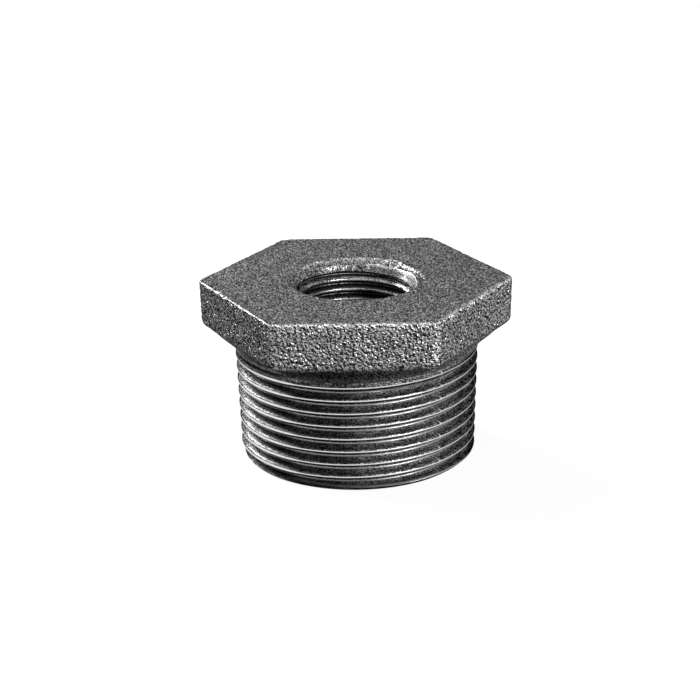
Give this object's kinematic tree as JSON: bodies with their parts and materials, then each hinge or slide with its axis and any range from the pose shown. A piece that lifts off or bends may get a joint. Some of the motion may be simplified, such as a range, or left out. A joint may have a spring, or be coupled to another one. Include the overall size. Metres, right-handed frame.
{
  "type": "hexagon reducing bushing",
  "caption": "Cast iron pipe reducer: hexagon head, tapered male thread outside, smaller parallel female thread inside and a cored recess in the male end.",
  "frame": {"origin": "centre of the male end face, which the bushing stands on", "axes": "+Z along the thread axis, from the male end to the hexagon; +X to a corner of the hexagon, so that one flat faces -Y"},
  "size_m": [0.0542, 0.0474, 0.031],
  "materials": {
    "cast_iron": "sand cast skin with machined threads, lightly oiled"
  },
  "bodies": {
    "root": {"bushing": "cast_iron"}
  },
  "joints": []
}
